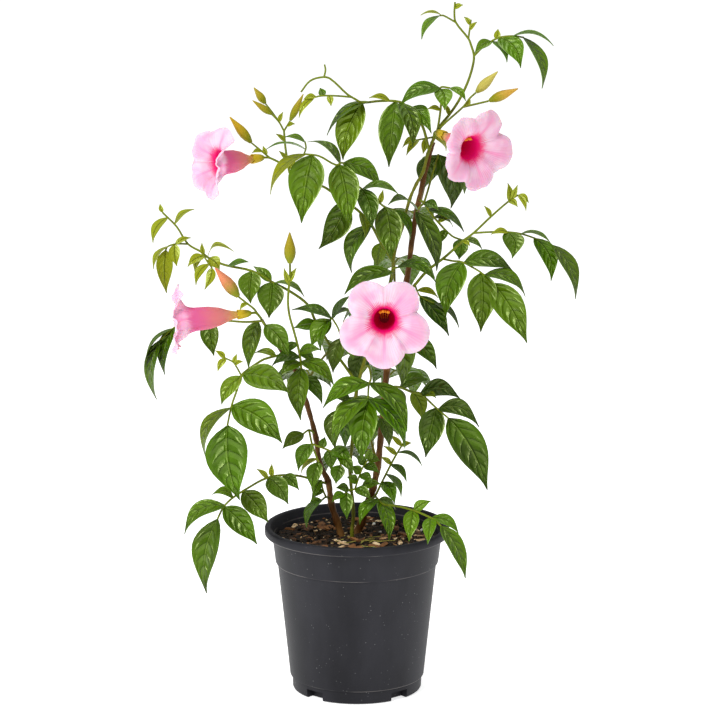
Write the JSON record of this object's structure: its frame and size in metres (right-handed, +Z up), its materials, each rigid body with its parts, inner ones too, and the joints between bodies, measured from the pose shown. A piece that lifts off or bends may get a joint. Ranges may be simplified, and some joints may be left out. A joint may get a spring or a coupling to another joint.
{
  "type": "potted flowering vine",
  "caption": "Climbing vine with pinnate glossy leaves, pink trumpet flowers and buds, rooted in a round tapered plastic nursery pot",
  "frame": {"origin": "centre of the underside of the pot, where the pot rests", "axes": "+Z up along the axis of the pot, -Y to the side with the open flower in the middle, X to the right of it"},
  "size_m": [0.3546, 0.2254, 0.5713],
  "materials": {
    "pot": "satin charcoal moulded plastic",
    "soil": "rough bark and peat mix",
    "bark": "reddish brown smooth bark",
    "leaf": "glossy deep green, lighter below",
    "petal": "soft pale pink",
    "stamen": "matt orange yellow"
  },
  "bodies": {
    "root": {"pot": "pot", "soil": "soil", "cane_left": "bark", "cane_right": "bark", "cane_middle": "bark", "top_shoot": "leaf", "upper_left_shoot": "leaf", "flower_shoot": "leaf", "glossy_leaf": "leaf", "side_leaves": "leaf", "right_shoot": "leaf", "front_stalk": "leaf", "central_leaf": "leaf", "shaded_leaf": "leaf", "behind_leaf": "leaf", "left_shoot": "leaf", "bud_shoot": "leaf", "lower_left_leaf": "leaf", "left_flower_shoot": "leaf", "rim_leaf": "leaf", "right_leaf": "leaf", "low_right_shoot": "leaf", "basal_left": "leaf", "basal_middle": "leaf", "low_left_leaf": "leaf", "back_shoot_1": "leaf", "back_shoot_2": "leaf", "back_shoot_3": "leaf", "back_shoot_4": "leaf", "back_shoot_5": "leaf", "corolla_front": "petal", "corolla_right": "petal", "corolla_upper_left": "petal", "corolla_left": "petal", "stamens_front": "stamen", "stamens_right": "stamen"}
  },
  "joints": []
}
